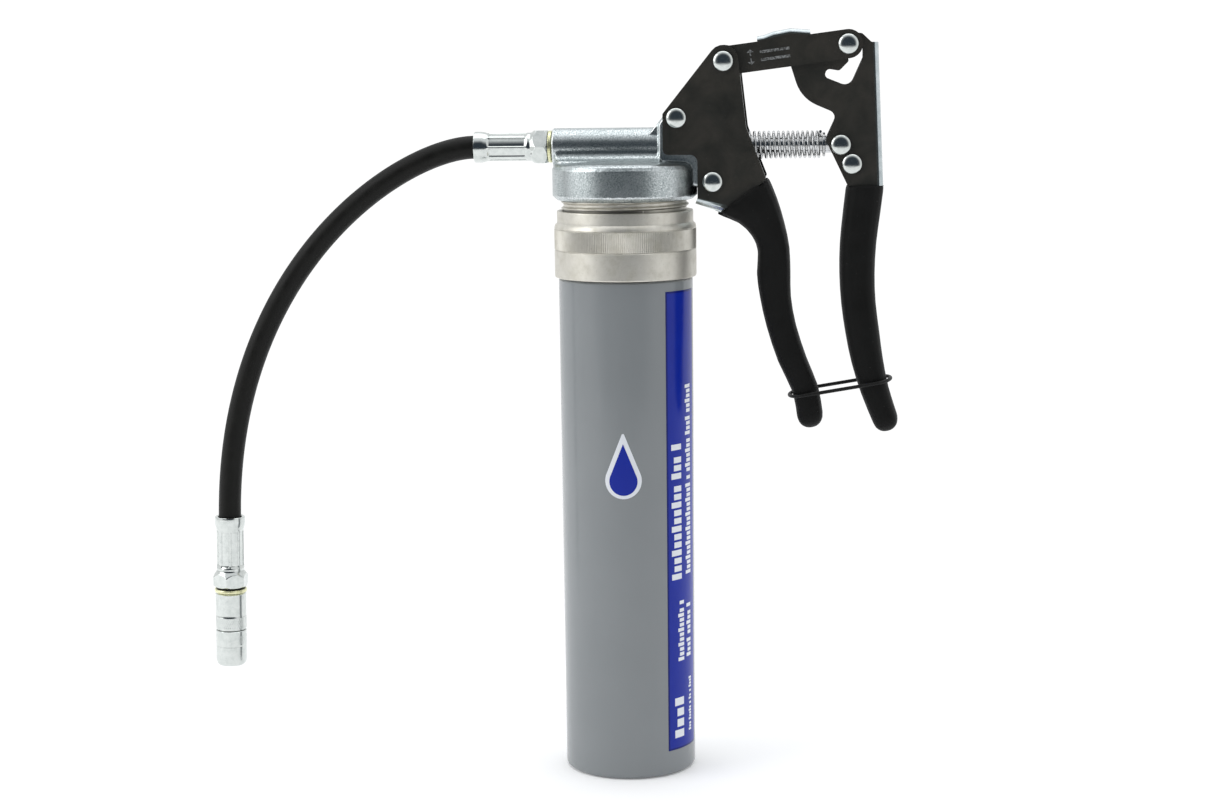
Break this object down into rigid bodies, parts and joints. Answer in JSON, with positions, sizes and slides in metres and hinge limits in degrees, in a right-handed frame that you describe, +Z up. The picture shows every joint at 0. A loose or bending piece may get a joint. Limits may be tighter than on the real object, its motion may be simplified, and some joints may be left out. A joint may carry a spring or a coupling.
{
  "type": "grease gun",
  "caption": "One-hand lever grease gun with a screw-on cartridge, knurled collar, zinc pump head, rubber grips, link-and-slot stroke selector and a curved hose ending in a jaw coupler.",
  "frame": {"origin": "centre of the cartridge's flat base", "axes": "+Z up the cartridge's axis to the pump head, +X from the head towards the hand lever, -X towards the outlet and the hose; the object is symmetric about the XZ plane"},
  "size_m": [0.3296, 0.0674, 0.3484],
  "materials": {
    "cast_zinc": "tumbled die-cast zinc, mottled",
    "nickel": "warm satin nickel plate",
    "bright_zinc": "bright zinc plate",
    "spring_steel": "drawn wire",
    "hardened_steel": "ground and polished",
    "black_paint": "gloss black stove enamel",
    "grip_vinyl": "matte soft vinyl",
    "hose_rubber": "matte hose cover",
    "black_rubber": "matte rubber",
    "cartridge_plastic": "satin grey polyethylene with a blue label strip",
    "follower_plastic": "natural polyethylene",
    "seal_bronze": "yellow passivated sealing ring"
  },
  "bodies": {
    "head": {"head_casting": "cast_zinc", "fixed_handle": "black_paint", "fixed_grip": "grip_vinyl", "head_rivet_upper": "bright_zinc", "head_rivet_lower": "bright_zinc", "link_pivot_pin": "bright_zinc", "piston_seal": "black_rubber", "spring_seat_washer": "bright_zinc", "return_spring": "spring_steel", "outlet_spring": "spring_steel", "outlet_seal_washer": "seal_bronze", "hose_fitting_gun": "bright_zinc", "hose": "hose_rubber", "transport_ring": "black_rubber"},
    "outlet_valve": {"outlet_ball": "hardened_steel"},
    "collar_gasket": {"adapter_gasket": "black_rubber"},
    "cartridge": {"cartridge_adapter": "nickel", "cartridge_gasket": "black_rubber", "cartridge_tube": "cartridge_plastic"},
    "follower": {"follower_piston": "follower_plastic"},
    "piston": {"pump_piston": "hardened_steel"},
    "lever": {"lever": "black_paint", "lever_grip": "grip_vinyl", "plunger_pin": "bright_zinc", "lever_rivet": "bright_zinc"},
    "link": {"link": "black_paint", "link_slot_pin": "bright_zinc"},
    "coupler": {"hose_fitting_coupler": "bright_zinc", "coupler_seal_ring": "seal_bronze", "coupler_body": "bright_zinc", "coupler_sleeve": "bright_zinc", "coupler_spring": "spring_steel"},
    "jaws": {"coupler_seal": "black_rubber", "coupler_jaw_1": "hardened_steel", "coupler_jaw_2": "hardened_steel", "coupler_jaw_3": "hardened_steel", "coupler_jaw_4": "hardened_steel"}
  },
  "joints": [
    {"name": "piston_slide", "type": "slide", "parent": "head", "child": "piston", "axis": [1, 0, 0], "range_m": [-0.0048, 0.016], "deforming": ["return_spring"]},
    {"name": "lever_swing", "type": "hinge", "parent": "piston", "child": "lever", "pos_m": [0.1001, 0, 0.2955], "axis": [0, -1, 0], "range_deg": [-5.5, 20], "deforming": ["transport_ring"]},
    {"name": "link_swing", "type": "hinge", "parent": "head", "child": "link", "pos_m": [0.0466, 0, 0.334], "axis": [0, -1, 0], "range_deg": [-1.1, 0.4]},
    {"name": "collar_drop", "type": "slide", "parent": "head", "child": "collar_gasket", "axis": [0, 0, -1], "range_m": [0, 0.0122]},
    {"name": "cartridge_unscrew", "type": "hinge", "parent": "collar_gasket", "child": "cartridge", "pos_m": [0, 0, 0.2], "axis": [0, 0, -1], "range_deg": [0, 1440]},
    {"name": "follower_slide", "type": "slide", "parent": "cartridge", "child": "follower", "axis": [0, 0, 1], "range_m": [0, 0.212]},
    {"name": "outlet_ball_lift", "type": "slide", "parent": "head", "child": "outlet_valve", "axis": [-1, 0, 0], "range_m": [0, 0.0015], "deforming": ["outlet_spring"]},
    {"name": "hose_bend", "type": "hinge", "parent": "head", "child": "coupler", "pos_m": [-0.156, 0, 0.238], "axis": [0, 1, 0], "range_deg": [-25, 30], "deforming": ["hose"]},
    {"name": "jaws_press", "type": "slide", "parent": "coupler", "child": "jaws", "axis": [0.0244, 0, 0.9997], "range_m": [0, 0.0015], "deforming": ["coupler_spring"]}
  ],
  "couplings": [
    {"joint": "piston_slide", "follows": "lever_swing", "m_per_rad": 0.0457},
    {"joint": "link_swing", "follows": "lever_swing", "ratio": -0.05},
    {"joint": "collar_drop", "follows": "cartridge_unscrew", "m_per_rad": 0.00047746}
  ]
}
